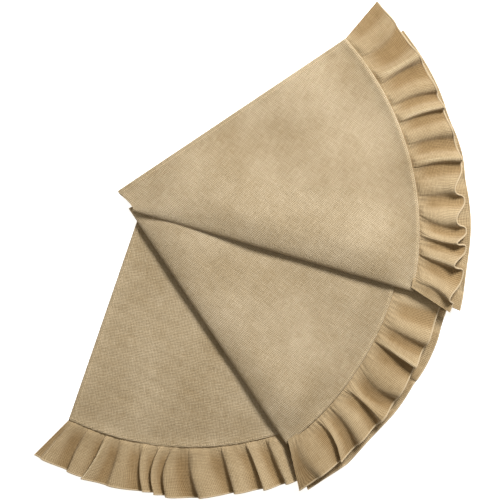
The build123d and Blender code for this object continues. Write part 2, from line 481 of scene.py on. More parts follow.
@dataclass
class StitchTree:
    """Tree that lays short stitches of thread along every line of a piece."""

    length: float = 0.0034
    pitch: float = 0.0045
    thickness: float = 0.0010
    stray: float = 0.10    # how much a stitch may turn off the line, in radians
    seed: int = 11
    tree: bpy.types.NodeTree = field(init=False)

    def __post_init__(self) -> None:
        """Build the node tree."""
        tree = bpy.data.node_groups.new("stitching", "GeometryNodeTree")
        face = tree.interface
        face.new_socket(name="Geometry", in_out="INPUT", socket_type="NodeSocketGeometry")
        face.new_socket(name="Stitch Length", in_out="INPUT", socket_type="NodeSocketFloat")
        face.new_socket(name="Stitch Pitch", in_out="INPUT", socket_type="NodeSocketFloat")
        face.new_socket(name="Thickness", in_out="INPUT", socket_type="NodeSocketFloat")
        face.new_socket(name="Stray", in_out="INPUT", socket_type="NodeSocketFloat")
        face.new_socket(name="Seed", in_out="INPUT", socket_type="NodeSocketInt")
        face.new_socket(name="Material", in_out="INPUT", socket_type="NodeSocketMaterial")
        face.new_socket(name="Geometry", in_out="OUTPUT", socket_type="NodeSocketGeometry")
        nodes, links = tree.nodes, tree.links

        entry = nodes.new("NodeGroupInput")
        entry.label, entry.location = "stitching line and sizes", (-1100, 0)
        to_curve = nodes.new("GeometryNodeMeshToCurve")
        to_curve.label, to_curve.location = "line as a curve", (-850, 160)
        space = nodes.new("GeometryNodeResampleCurve")
        space.label, space.location = "one point for each stitch", (-650, 160)
        space.mode = "LENGTH"
        tangent = nodes.new("GeometryNodeInputTangent")
        tangent.label, tangent.location = "way of the line", (-850, -40)
        aim = nodes.new("FunctionNodeAlignRotationToVector")
        aim.label, aim.location = "stitch along the line", (-650, -40)
        aim.axis = "X"
        back = nodes.new("ShaderNodeMath")
        back.label, back.location = "turn the other way", (-850, -360)
        back.operation = "MULTIPLY"
        back.inputs[1].default_value = -1.0
        stray = nodes.new("FunctionNodeRandomValue")
        stray.label, stray.location = "small stray turn", (-650, -260)
        stray.data_type = "FLOAT"
        tilt = nodes.new("ShaderNodeCombineXYZ")
        tilt.label, tilt.location = "turn about the upright", (-450, -260)
        wobble = nodes.new("FunctionNodeRotateRotation")
        wobble.label, wobble.location = "add the stray turn", (-250, -60)
        wobble.rotation_space = "LOCAL"
        euler = nodes.new("FunctionNodeEulerToRotation")
        euler.label, euler.location = "stray as a rotation", (-430, -120)
        thread = nodes.new("GeometryNodeMeshIcoSphere")
        thread.label, thread.location = "round of thread", (-650, -480)
        thread.inputs["Radius"].default_value = 0.5
        thread.inputs["Subdivisions"].default_value = 2
        size = nodes.new("ShaderNodeCombineXYZ")
        size.label, size.location = "long and thin", (-650, -640)
        stretch = nodes.new("GeometryNodeTransform")
        stretch.label, stretch.location = "one stitch", (-430, -480)
        lay = nodes.new("GeometryNodeInstanceOnPoints")
        lay.label, lay.location = "stitch at each point", (-40, 80)
        realize = nodes.new("GeometryNodeRealizeInstances")
        realize.label, realize.location = "plain mesh", (160, 80)
        smooth = nodes.new("GeometryNodeSetShadeSmooth")
        smooth.label, smooth.location = "smooth thread", (340, 80)
        dress = nodes.new("GeometryNodeSetMaterial")
        dress.label, dress.location = "thread", (520, 80)
        leave = nodes.new("NodeGroupOutput")
        leave.label, leave.location = "stitches", (700, 80)

        links.new(entry.outputs["Geometry"], to_curve.inputs["Mesh"])
        links.new(to_curve.outputs["Curve"], space.inputs["Curve"])
        links.new(entry.outputs["Stitch Pitch"], space.inputs["Length"])
        links.new(tangent.outputs["Tangent"], aim.inputs["Vector"])
        links.new(entry.outputs["Stray"], back.inputs[0])
        links.new(back.outputs["Value"], stray.inputs["Min"])
        links.new(entry.outputs["Stray"], stray.inputs["Max"])
        links.new(entry.outputs["Seed"], stray.inputs["Seed"])
        links.new(stray.outputs["Value"], tilt.inputs["Z"])
        links.new(tilt.outputs["Vector"], euler.inputs["Euler"])
        links.new(aim.outputs["Rotation"], wobble.inputs["Rotation"])
        links.new(euler.outputs["Rotation"], wobble.inputs["Rotate By"])
        links.new(entry.outputs["Stitch Length"], size.inputs["X"])
        links.new(entry.outputs["Thickness"], size.inputs["Y"])
        links.new(entry.outputs["Thickness"], size.inputs["Z"])
        links.new(thread.outputs["Mesh"], stretch.inputs["Geometry"])
        links.new(size.outputs["Vector"], stretch.inputs["Scale"])
        links.new(space.outputs["Curve"], lay.inputs["Points"])
        links.new(stretch.outputs["Geometry"], lay.inputs["Instance"])
        links.new(wobble.outputs["Rotation"], lay.inputs["Rotation"])
        links.new(lay.outputs["Instances"], realize.inputs["Geometry"])
        links.new(realize.outputs["Geometry"], smooth.inputs["Geometry"])
        links.new(smooth.outputs["Geometry"], dress.inputs["Geometry"])
        links.new(entry.outputs["Material"], dress.inputs["Material"])
        links.new(dress.outputs["Geometry"], leave.inputs["Geometry"])
        self.tree = tree

    def make(self, name: str, lines: list[Array], material: bpy.types.Material) -> bpy.types.Object:
        """Stitches along lines of points, as a plain mesh.

        Args:
            name: Name of the piece.
            lines: Lines of points that the stitches follow.
            material: The thread.

        Returns:
            The object.
        """
        path = line_object(name, lines)
        values = {"Stitch Length": self.length, "Stitch Pitch": self.pitch,
                  "Thickness": self.thickness, "Stray": self.stray, "Seed": self.seed,
                  "Material": material}
        return baked(path, self.tree, values)


def baked(piece: bpy.types.Object, tree: bpy.types.NodeTree, values: dict) -> bpy.types.Object:
    """Run a node tree on a piece and keep its result as a plain mesh.

    Args:
        piece: Piece that holds the lines.
        tree: Geometry node tree.
        values: Input values by the names of the tree's inputs.

    Returns:
        The same object with the made mesh and no modifier.
    """
    sockets = {item.name: item.identifier for item in tree.interface.items_tree
               if item.in_out == "INPUT"}
    modifier = piece.modifiers.new(tree.name, "NODES")
    modifier.node_group = tree
    for name, value in values.items():
        modifier[sockets[name]] = value
    graph = bpy.context.evaluated_depsgraph_get()
    made = bpy.data.meshes.new_from_object(piece.evaluated_get(graph), depsgraph=graph)
    piece.modifiers.clear()
    piece.data = made
    return piece


# ---------------------------------------------------------------------------------------------
# Finishes
# ---------------------------------------------------------------------------------------------

@dataclass(frozen=True)
class WeaveFinish:
    """Look of one woven jute cloth. Colours are linear."""

    slot: str
    pale: tuple[float, float, float]
    dark: tuple[float, float, float]
    gap: tuple[float, float, float]
    thread: float          # distance between threads, in metres
    slub: float            # contrast of thick and thin stretches of thread
    relief: float          # depth of the weave in the surface
    roughness: float
    sheen: float
    hollow: tuple[float, float, float]     # share of each colour left in a hollow, as painted shade
    crest: tuple[float, float, float]      # share of each colour on a crest, as painted highlight


@dataclass(frozen=True)
class YarnFinish:
    """Look of the sewing thread. Colours are linear."""

    slot: str
    pale: tuple[float, float, float]
    dark: tuple[float, float, float]
    ply: float             # turns of the yarn for each metre
    roughness: float
    sheen: float


# The last two colours of each finish are painted shade for hollows and painted highlight for crests.
PANEL_CLOTH = WeaveFinish("burlap_cloth", (0.582, 0.474, 0.322), (0.372, 0.278, 0.156),
                          (0.150, 0.102, 0.050), 0.0029, 0.95, 1.0, 0.92, 0.10,
                          (0.74, 0.71, 0.66), (1.26, 1.28, 1.30))
# The ruffle's jute is the panel's jute painted darker and more saturated, as painted shade for its folds,
# with a warmer painted shade in its hollows.
RUFFLE_CLOTH = WeaveFinish("ruffle_cloth", (0.545, 0.430, 0.272), (0.350, 0.256, 0.140),
                           (0.150, 0.098, 0.045), 0.0029, 0.95, 0.9, 0.92, 0.10,
                           (0.74, 0.64, 0.49), (1.28, 1.32, 1.36))
HEM_CLOTH = WeaveFinish("hem_cloth", (0.900, 0.780, 0.560), (0.720, 0.580, 0.370),
                        (0.420, 0.310, 0.180), 0.0019, 0.60, 0.45, 0.90, 0.12,
                        (0.90, 0.90, 0.90), (1.10, 1.10, 1.10))
SEWING_THREAD = YarnFinish("thread", (0.790, 0.640, 0.420), (0.600, 0.450, 0.260), 900.0, 0.78, 0.16)


def woven_cloth(finish: WeaveFinish) -> bpy.types.Material:
    """Material of a plain jute weave on the grain of the flat cut.

    Args:
        finish: Colours and sizes of the cloth.

    Returns:
        The material; it reads the UV map "grain", which is in metres.
    """
    material = bpy.data.materials.new(finish.slot + "_weave")
    material.use_nodes = True
    nodes, links = material.node_tree.nodes, material.node_tree.links
    nodes.clear()

    grain_frame = nodes.new("NodeFrame")
    grain_frame.label = "grain of the cloth"
    weave_frame = nodes.new("NodeFrame")
    weave_frame.label = "over and under of the threads"
    slub_frame = nodes.new("NodeFrame")
    slub_frame.label = "thick and thin thread"
    shade_frame = nodes.new("NodeFrame")
    shade_frame.label = "colour and surface"

    grain = nodes.new("ShaderNodeUVMap")
    grain.label, grain.location, grain.parent = "flat cut in metres", (-2200, 0), grain_frame
    grain.uv_map = "grain"
    stray = nodes.new("ShaderNodeTexNoise")
    stray.label, stray.location, stray.parent = "threads stray from straight", (-2000, -220), grain_frame
    stray.inputs["Scale"].default_value = 38.0
    stray.inputs["Detail"].default_value = 2.0
    level = nodes.new("ShaderNodeVectorMath")
    level.label, level.location, level.parent = "stray both ways", (-1820, -220), grain_frame
    level.operation = "SUBTRACT"
    level.inputs[1].default_value = (0.5, 0.5, 0.5)
    amount = nodes.new("ShaderNodeVectorMath")
    amount.label, amount.location, amount.parent = "how far they stray", (-1640, -220), grain_frame
    amount.operation = "SCALE"
    amount.inputs["Scale"].default_value = finish.thread * 1.5
    strayed = nodes.new("ShaderNodeVectorMath")
    strayed.label, strayed.location, strayed.parent = "strayed grain", (-1460, 0), grain_frame
    strayed.operation = "ADD"
    count = nodes.new("ShaderNodeVectorMath")
    count.label, count.location, count.parent = "half turns, one for each thread", (-1280, 0), grain_frame
    count.operation = "SCALE"
    count.inputs["Scale"].default_value = math.pi / finish.thread
    split = nodes.new("ShaderNodeSeparateXYZ")
    split.label, split.location, split.parent = "warp and weft", (-1100, 0), grain_frame
    links.new(grain.outputs["UV"], stray.inputs["Vector"])
    links.new(stray.outputs["Color"], level.inputs[0])
    links.new(level.outputs["Vector"], amount.inputs[0])
    links.new(grain.outputs["UV"], strayed.inputs[0])
    links.new(amount.outputs["Vector"], strayed.inputs[1])
    links.new(strayed.outputs["Vector"], count.inputs[0])
    links.new(count.outputs["Vector"], split.inputs["Vector"])

    warp_wave = nodes.new("ShaderNodeMath")
    warp_wave.label, warp_wave.location, warp_wave.parent = "warp wave", (-900, 160), weave_frame
    warp_wave.operation = "SINE"
    weft_wave = nodes.new("ShaderNodeMath")
    weft_wave.label, weft_wave.location, weft_wave.parent = "weft wave", (-900, -60), weave_frame
    weft_wave.operation = "SINE"
    crossing = nodes.new("ShaderNodeMath")
    crossing.label, crossing.location, crossing.parent = "which thread is on top", (-720, 40), weave_frame
    crossing.operation = "MULTIPLY"
    warp_round = nodes.new("ShaderNodeMath")
    warp_round.label, warp_round.location, warp_round.parent = "round of the warp", (-720, 220), weave_frame
    warp_round.operation = "ABSOLUTE"
    weft_round = nodes.new("ShaderNodeMath")
    weft_round.label, weft_round.location, weft_round.parent = "round of the weft", (-720, -140), weave_frame
    weft_round.operation = "ABSOLUTE"
    over = nodes.new("ShaderNodeMath")
    over.label, over.location, over.parent = "rise where it goes over", (-540, 100), weave_frame
    over.operation = "MULTIPLY"
    over.inputs[1].default_value = 0.45
    warp_height = nodes.new("ShaderNodeMath")
    warp_height.label, warp_height.location = "height of the warp", (-360, 200)
    warp_height.parent = weave_frame
    warp_height.operation = "MULTIPLY_ADD"
    warp_height.inputs[1].default_value = 0.55
    under = nodes.new("ShaderNodeMath")
    under.label, under.location, under.parent = "weft goes under there", (-540, -60), weave_frame
    under.operation = "MULTIPLY"
    under.inputs[1].default_value = -0.45
    weft_height = nodes.new("ShaderNodeMath")
    weft_height.label, weft_height.location = "height of the weft", (-360, -80)
    weft_height.parent = weave_frame
    weft_height.operation = "MULTIPLY_ADD"
    weft_height.inputs[1].default_value = 0.55
    top = nodes.new("ShaderNodeMath")
    top.label, top.location, top.parent = "higher of the two", (-180, 60), weave_frame
    top.operation = "SMOOTH_MAX"
    top.inputs[2].default_value = 0.15
    links.new(split.outputs["X"], warp_wave.inputs[0])
    links.new(split.outputs["Y"], weft_wave.inputs[0])
    links.new(warp_wave.outputs["Value"], crossing.inputs[0])
    links.new(weft_wave.outputs["Value"], crossing.inputs[1])
    links.new(warp_wave.outputs["Value"], warp_round.inputs[0])
    links.new(weft_wave.outputs["Value"], weft_round.inputs[0])
    links.new(crossing.outputs["Value"], over.inputs[0])
    links.new(crossing.outputs["Value"], under.inputs[0])
    links.new(warp_round.outputs["Value"], warp_height.inputs[0])
    links.new(over.outputs["Value"], warp_height.inputs[2])
    links.new(weft_round.outputs["Value"], weft_height.inputs[0])
    links.new(under.outputs["Value"], weft_height.inputs[2])
    links.new(warp_height.outputs["Value"], top.inputs[0])
    links.new(weft_height.outputs["Value"], top.inputs[1])

    along_warp = nodes.new("ShaderNodeMapping")
    along_warp.label, along_warp.location, along_warp.parent = "long in the warp", (-1640, -560), slub_frame
    along_warp.inputs["Scale"].default_value = (430.0, 34.0, 1.0)
    warp_slub = nodes.new("ShaderNodeTexNoise")
    warp_slub.label, warp_slub.location, warp_slub.parent = "slubs of the warp", (-1440, -560), slub_frame
    warp_slub.inputs["Scale"].default_value = 1.0
    warp_slub.inputs["Detail"].default_value = 3.0
    warp_slub.inputs["Roughness"].default_value = 0.65
    along_weft = nodes.new("ShaderNodeMapping")
    along_weft.label, along_weft.location, along_weft.parent = "long in the weft", (-1640, -860), slub_frame
    along_weft.inputs["Scale"].default_value = (38.0, 410.0, 1.0)
    along_weft.inputs["Location"].default_value = (3.7, 9.1, 0.0)
    weft_slub = nodes.new("ShaderNodeTexNoise")
    weft_slub.label, weft_slub.location, weft_slub.parent = "slubs of the weft", (-1440, -860), slub_frame
    weft_slub.inputs["Scale"].default_value = 1.0
    weft_slub.inputs["Detail"].default_value = 3.0
    weft_slub.inputs["Roughness"].default_value = 0.65
    patches = nodes.new("ShaderNodeTexNoise")
    patches.label, patches.location, patches.parent = "uneven colour of the bolt", (-1440, -1120), slub_frame
    patches.inputs["Scale"].default_value = 7.0
    patches.inputs["Detail"].default_value = 3.0
    slubs = nodes.new("ShaderNodeMath")
    slubs.label, slubs.location, slubs.parent = "both slubs", (-1240, -680), slub_frame
    slubs.operation = "ADD"
    all_uneven = nodes.new("ShaderNodeMath")
    all_uneven.label, all_uneven.location = "slubs with the patches", (-1060, -760)
    all_uneven.parent = slub_frame
    all_uneven.operation = "MULTIPLY_ADD"
    all_uneven.inputs[1].default_value = 1.30
    tone = nodes.new("ShaderNodeMapRange")
    tone.label, tone.location, tone.parent = "tone of the thread", (-880, -760), slub_frame
    tone.inputs["From Min"].default_value = 1.65 - 0.36 / finish.slub
    tone.inputs["From Max"].default_value = 1.65 + 0.36 / finish.slub
    links.new(grain.outputs["UV"], along_warp.inputs["Vector"])
    links.new(grain.outputs["UV"], along_weft.inputs["Vector"])
    links.new(grain.outputs["UV"], patches.inputs["Vector"])
    links.new(along_warp.outputs["Vector"], warp_slub.inputs["Vector"])
    links.new(along_weft.outputs["Vector"], weft_slub.inputs["Vector"])
    links.new(warp_slub.outputs["Fac"], slubs.inputs[0])
    links.new(weft_slub.outputs["Fac"], slubs.inputs[1])
    links.new(patches.outputs["Fac"], all_uneven.inputs[0])
    links.new(slubs.outputs["Value"], all_uneven.inputs[2])
    links.new(all_uneven.outputs["Value"], tone.inputs["Value"])

    fibre = nodes.new("ShaderNodeMix")
    fibre.label, fibre.location, fibre.parent = "pale and dark jute", (-300, -560), shade_frame
    fibre.data_type = "RGBA"
    fibre.inputs["A"].default_value = (*finish.dark, 1.0)
    fibre.inputs["B"].default_value = (*finish.pale, 1.0)
    open_gap = nodes.new("ShaderNodeMapRange")
    open_gap.label, open_gap.location, open_gap.parent = "holes between threads", (-300, -300), shade_frame
    open_gap.inputs["From Min"].default_value = 0.10
    open_gap.inputs["From Max"].default_value = 0.52
    open_gap.inputs["To Min"].default_value = 0.0
    open_gap.inputs["To Max"].default_value = 1.0
    colour = nodes.new("ShaderNodeMix")
    colour.label, colour.location, colour.parent = "thread or hole", (-80, -420), shade_frame
    colour.data_type = "RGBA"
    colour.inputs["A"].default_value = (*finish.gap, 1.0)
    # The per-point attribute read here scales the colour: down in hollows as painted shade, up on crests as
    # painted highlight.
    painted_light = nodes.new("ShaderNodeAttribute")
    painted_light.label, painted_light.location, painted_light.parent = "hollow or crest", (-300, -60), shade_frame
    painted_light.attribute_name = "painted_shading"
    painted_shading_mix = nodes.new("ShaderNodeMix")
    painted_shading_mix.label, painted_shading_mix.location, painted_shading_mix.parent = "crests rubbed pale", (-80, -120), shade_frame
    painted_shading_mix.data_type = "RGBA"
    painted_shading_mix.inputs["A"].default_value = (*finish.hollow, 1.0)
    painted_shading_mix.inputs["B"].default_value = (*finish.crest, 1.0)
    painted_shading_colour = nodes.new("ShaderNodeVectorMath")
    painted_shading_colour.label, painted_shading_colour.location, painted_shading_colour.parent = "handled cloth", (120, -260), shade_frame
    painted_shading_colour.operation = "MULTIPLY"
    hair = nodes.new("ShaderNodeTexNoise")
    hair.label, hair.location, hair.parent = "loose fibres", (-540, -960), shade_frame
    hair.inputs["Scale"].default_value = 1500.0
    hair.inputs["Detail"].default_value = 2.0
    full = nodes.new("ShaderNodeMath")
    full.label, full.location, full.parent = "slubs stand up", (-300, -820), shade_frame
    full.operation = "MULTIPLY_ADD"
    full.inputs[1].default_value = 0.40
    fuzzy = nodes.new("ShaderNodeMath")
    fuzzy.label, fuzzy.location, fuzzy.parent = "fibres stand up", (-120, -820), shade_frame
    fuzzy.operation = "MULTIPLY_ADD"
    fuzzy.inputs[1].default_value = 0.25
    relief = nodes.new("ShaderNodeBump")
    relief.label, relief.location, relief.parent = "relief of the weave", (80, -760), shade_frame
    relief.inputs["Strength"].default_value = finish.relief
    relief.inputs["Distance"].default_value = 0.0009
    cloth = nodes.new("ShaderNodeBsdfPrincipled")
    cloth.label, cloth.location, cloth.parent = "jute", (300, -400), shade_frame
    cloth.inputs["Roughness"].default_value = finish.roughness
    cloth.inputs["Specular IOR Level"].default_value = 0.18
    cloth.inputs["Sheen Weight"].default_value = finish.sheen
    cloth.inputs["Sheen Roughness"].default_value = 0.6
    output = nodes.new("ShaderNodeOutputMaterial")
    output.label, output.location, output.parent = "cloth", (600, -400), shade_frame
    links.new(tone.outputs["Result"], fibre.inputs["Factor"])
    links.new(top.outputs["Value"], open_gap.inputs["Value"])
    links.new(open_gap.outputs["Result"], colour.inputs["Factor"])
    links.new(fibre.outputs["Result"], colour.inputs["B"])
    links.new(painted_light.outputs["Fac"], painted_shading_mix.inputs["Factor"])
    links.new(colour.outputs["Result"], painted_shading_colour.inputs[0])
    links.new(painted_shading_mix.outputs["Result"], painted_shading_colour.inputs[1])
    links.new(painted_shading_colour.outputs["Vector"], cloth.inputs["Base Color"])
    links.new(grain.outputs["UV"], hair.inputs["Vector"])
    links.new(tone.outputs["Result"], full.inputs[0])
    links.new(top.outputs["Value"], full.inputs[2])
    links.new(hair.outputs["Fac"], fuzzy.inputs[0])
    links.new(full.outputs["Value"], fuzzy.inputs[2])
    links.new(fuzzy.outputs["Value"], relief.inputs["Height"])
    links.new(relief.outputs["Normal"], cloth.inputs["Normal"])
    links.new(cloth.outputs["BSDF"], output.inputs["Surface"])
    return material


def spun_yarn(finish: YarnFinish) -> bpy.types.Material:
    """Material of spun yarn in the object's own coordinates.

    Args:
        finish: Colours and twist of the yarn.

    Returns:
        The material.
    """
    material = bpy.data.materials.new(finish.slot + "_yarn")
    material.use_nodes = True
    nodes, links = material.node_tree.nodes, material.node_tree.links
    nodes.clear()
    twist_frame = nodes.new("NodeFrame")
    twist_frame.label = "twist of the plies"
    shade_frame = nodes.new("NodeFrame")
    shade_frame.label = "colour and surface"

    place = nodes.new("ShaderNodeTexCoord")
    place.label, place.location, place.parent = "place on the skirt", (-900, 0), twist_frame
    ply = nodes.new("ShaderNodeTexWave")
    ply.label, ply.location, ply.parent = "plies", (-700, 100), twist_frame
    ply.bands_direction = "DIAGONAL"
    ply.inputs["Scale"].default_value = finish.ply
    ply.inputs["Distortion"].default_value = 1.5
    fuzz = nodes.new("ShaderNodeTexNoise")
    fuzz.label, fuzz.location, fuzz.parent = "uneven dye", (-700, -200), twist_frame
    fuzz.inputs["Scale"].default_value = 240.0
    colour = nodes.new("ShaderNodeMix")
    colour.label, colour.location, colour.parent = "pale and dark yarn", (-440, -60), shade_frame
    colour.data_type = "RGBA"
    colour.inputs["A"].default_value = (*finish.dark, 1.0)
    colour.inputs["B"].default_value = (*finish.pale, 1.0)
    relief = nodes.new("ShaderNodeBump")
    relief.label, relief.location, relief.parent = "relief of the plies", (-440, -320), shade_frame
    relief.inputs["Strength"].default_value = 0.5
    relief.inputs["Distance"].default_value = 0.0002
    yarn = nodes.new("ShaderNodeBsdfPrincipled")
    yarn.label, yarn.location, yarn.parent = "cotton yarn", (-180, -100), shade_frame
    yarn.inputs["Roughness"].default_value = finish.roughness
    yarn.inputs["Specular IOR Level"].default_value = 0.25
    yarn.inputs["Sheen Weight"].default_value = finish.sheen
    output = nodes.new("ShaderNodeOutputMaterial")
    output.label, output.location, output.parent = "yarn", (120, -100), shade_frame
    links.new(place.outputs["Object"], ply.inputs["Vector"])
    links.new(place.outputs["Object"], fuzz.inputs["Vector"])
    links.new(fuzz.outputs["Fac"], colour.inputs["Factor"])
    links.new(ply.outputs["Fac"], relief.inputs["Height"])
    links.new(colour.outputs["Result"], yarn.inputs["Base Color"])
    links.new(relief.outputs["Normal"], yarn.inputs["Normal"])
    links.new(yarn.outputs["BSDF"], output.inputs["Surface"])
    return material


@dataclass
class Workbox:
    """Cloths, thread and node trees that every part of the skirt is made with."""

    cloth: bpy.types.Material = field(default_factory=lambda: woven_cloth(PANEL_CLOTH))
    ruffle: bpy.types.Material = field(default_factory=lambda: woven_cloth(RUFFLE_CLOTH))
    hem: bpy.types.Material = field(default_factory=lambda: woven_cloth(HEM_CLOTH))
    thread: bpy.types.Material = field(default_factory=lambda: spun_yarn(SEWING_THREAD))
    bead: BeadTree = field(default_factory=BeadTree)
    stitch: StitchTree = field(default_factory=StitchTree)


# ---------------------------------------------------------------------------------------------
# The plan of one panel
# ---------------------------------------------------------------------------------------------

@dataclass
class PanelPlan:
    """Outline of one panel, from its clockwise side round to its anticlockwise side."""

    name: str
    level: int
    sides: tuple[Side, ...]
    first_fold: Fold | None
    last_fold: Fold | None
    bend: tuple[float, float] | None = None
    bend_neck: tuple[float, float] | None = None
    hem_reach: float = 1.0
    corner_round: float = 0.013    # share of the slit that its rounded corner takes

    def __post_init__(self) -> None:
        """Work out the facing of the cloth and how the panel lies in the flat cut."""
        self.up = 1.0 if self.level % 2 == 0 else -1.0
        self.base = self.level * PITCH if self.up > 0 else self.level * PITCH + CLOTH
        self.middle = mid_height(self.level)
        cos, sin = math.cos(GRAIN_TURN), math.sin(GRAIN_TURN)
        matrix = np.array([[cos, -sin, 0.0], [sin, cos, 0.0], [0.0, 0.0, 1.0]])
        for fold in FOLDS[:self.level]:
            matrix = matrix @ np.vstack([fold.side.mirror(), [0.0, 0.0, 1.0]])
        self.unfold = matrix[:2]

    def flat(self, places: Array) -> Array:
        """Where places of the folded panel lie on the flat cut."""
        return places[..., :2] @ self.unfold[:, :2].T + self.unfold[:, 2]

    def ends(self, side: Side, depth: float, flared: bool) -> Array:
        """Point outside the seam at the end of a side, turned by its flare or straight on.

        Args:
            side: Side of the panel.
            depth: Distance outside the seam.
            flared: True to turn by the flare of the side.

        Returns:
            The point in the plane.
        """
        along = side.along()
        if flared:
            along = turned(along, math.radians(side.flare))
        return side.points()[1] + along * depth

    def outer_line(self, depth: float, count: int = 1200) -> Array:
        """Line that follows the seam at a depth outside it, unflared, evenly spaced.

        Args:
            depth: Distance outside the seam, negative for inside.
            count: Number of points.

        Returns:
            Array of count points, anticlockwise.
        """
        radius = SEAM_RADIUS + depth
        stops = [self.ends(self.sides[0], depth, False)]
        if self.bend is not None:
            bend = Side(self.bend_neck, self.bend)
            stops.append(self.ends(bend, depth, False))
        stops.append(self.ends(self.sides[-1], depth, False))
        arcs = [arc_between(a, b, radius, 700) for a, b in zip(stops, stops[1:])]
        return evenly(np.concatenate([arcs[0]] + [arc[1:] for arc in arcs[1:]]), count)

    def neck_line(self, count: int = 600) -> Array:
        """Line of the neck, evenly spaced.

        Args:
            count: Number of points.

        Returns:
            Array of count points, in the same order as the seam.
        """
        stops = [self.sides[0].points()[0]]
        if self.bend_neck is not None:
            stops.append(np.array(self.bend_neck))
        stops.append(self.sides[-1].points()[0])
        arcs = [arc_between(a, b, NECK_RADIUS, 300) for a, b in zip(stops, stops[1:])]
        return evenly(np.concatenate([arcs[0]] + [arc[1:] for arc in arcs[1:]]), count)

    def inside(self, line: Array, inset: float = FOLD_INSET) -> Array:
        """The stretch of a line that a fold's own strip leaves free, evenly spaced.

        Args:
            line: Line that may run over a fold.
            inset: Width of the strip to leave free.

        Returns:
            The rest of the line, with as many points as before.
        """
        kept = line
        for fold in (self.first_fold, self.last_fold):
            if fold is None:
                continue
            out = fold.reach_out(kept)
            free = out <= -inset
            first, last = np.argmax(free), len(free) - 1 - np.argmax(free[::-1])
            ends = []
            for near, far in ((first, first - 1), (last, last + 1)):
                if 0 <= far < len(kept):
                    share = (-inset - out[near]) / (out[far] - out[near])
                    ends.append(kept[near] + share * (kept[far] - kept[near]))
                else:
                    ends.append(kept[near])
            kept = np.concatenate([[ends[0]], kept[first + 1:last], [ends[1]]])
        return evenly(kept, len(line))

    def grid(self, shares: Array, columns: int) -> Array:
        """Plane grid from the neck to the seam.

        Args:
            shares: Place of each row, 0 at the neck and 1 at the seam.
            columns: Number of points along each row.

        Returns:
            Array of rows by columns by 2.
        """
        neck = evenly(self.inside(self.neck_line()), columns)
        seam = evenly(self.inside(self.outer_line(0.0)), columns)
        shares = shares[:, None]
        if self.first_fold is not None and self.last_fold is None:
            from_slit = np.linalg.norm(neck - neck[-1], axis=-1)
            shares = shares + (1.0 - shares) * self.corner_round * np.exp(-(from_slit / 0.007))[None, :]
        return neck[None] * (1.0 - shares[..., None]) + seam[None] * shares[..., None]

    def fold_share(self, fold: Fold, places: Array) -> Array:
        """Place of points along a fold, from 0 at the neck to 1 at the seam."""
        neck, seam = fold.side.points()
        return np.clip((places - neck) @ fold.side.along() / np.linalg.norm(seam - neck), 0.0, 1.0)

    def fold_heights(self, places: Array) -> Array:
        """Height of the flat cloth, with the rise beside a fold that lifts it.

        Args:
            places: Points in the plane.

        Returns:
            Height of each point.
        """
        height = np.full(places.shape[:-1], self.middle)
        for fold in (self.first_fold, self.last_fold):
            if fold is not None and fold.lower_level == self.level - 1:
                lifted = fold.upper_height(fold.reach_out(places), self.fold_share(fold, places))
                height = height + lifted - self.middle
        return height

    def near_fold(self, places: Array, width: float) -> Array:
        """0 at a fold's strip, growing to 1 at a distance inside it.

        Args:
            places: Points in the plane.
            width: Distance over which it grows.

        Returns:
            Value for each point.
        """
        calm = np.ones(places.shape[:-1])
        for fold in (self.first_fold, self.last_fold):
            if fold is not None:
                calm = calm * ease((-fold.reach_out(places) - FOLD_INSET) / width)
        return calm

    def slit_side(self) -> Side | None:
        """The side that is an edge of the slit, if there is one."""
        if self.first_fold is None:
            return self.sides[0]
        return self.sides[-1] if self.last_fold is None else None

    def slit_inset(self, places: Array) -> Array:
        """Distance of places from the edge of the slit, large where there is none.

        Args:
            places: Points in the plane.

        Returns:
            Distance of each point.
        """
        side = self.slit_side()
        if side is None:
            return np.full(places.shape[:-1], 9.0)
        neck, _ = side.points()
        across = turned(side.along(), math.pi / 2.0)
        sign = 1.0 if self.first_fold is None else -1.0
        return sign * ((places - neck) @ across)


PLANS = (
    PanelPlan("bottom", 0, (BOTTOM_SLIT, LOWER_BACK), None, LOWER_BACK_FOLD,
              BOTTOM_BEND, (-0.191, 0.067)),
    PanelPlan("lower_return", 1, (MIDDLE_FRONT, LOWER_BACK), MIDDLE_FRONT_FOLD, LOWER_BACK_FOLD,
              hem_reach=1.05),
    PanelPlan("middle", 2, (MIDDLE_FRONT, UPPER_BACK), MIDDLE_FRONT_FOLD, UPPER_BACK_FOLD,
              hem_reach=0.98),
    PanelPlan("upper_return", 3, (TOP_FRONT, UPPER_BACK), TOP_FRONT_FOLD, UPPER_BACK_FOLD,
              hem_reach=1.04),
    PanelPlan("top", 4, (TOP_FRONT, TOP_SLIT), TOP_FRONT_FOLD, None, hem_reach=0.98),
)


# ---------------------------------------------------------------------------------------------
# Parts of the skirt
# ---------------------------------------------------------------------------------------------

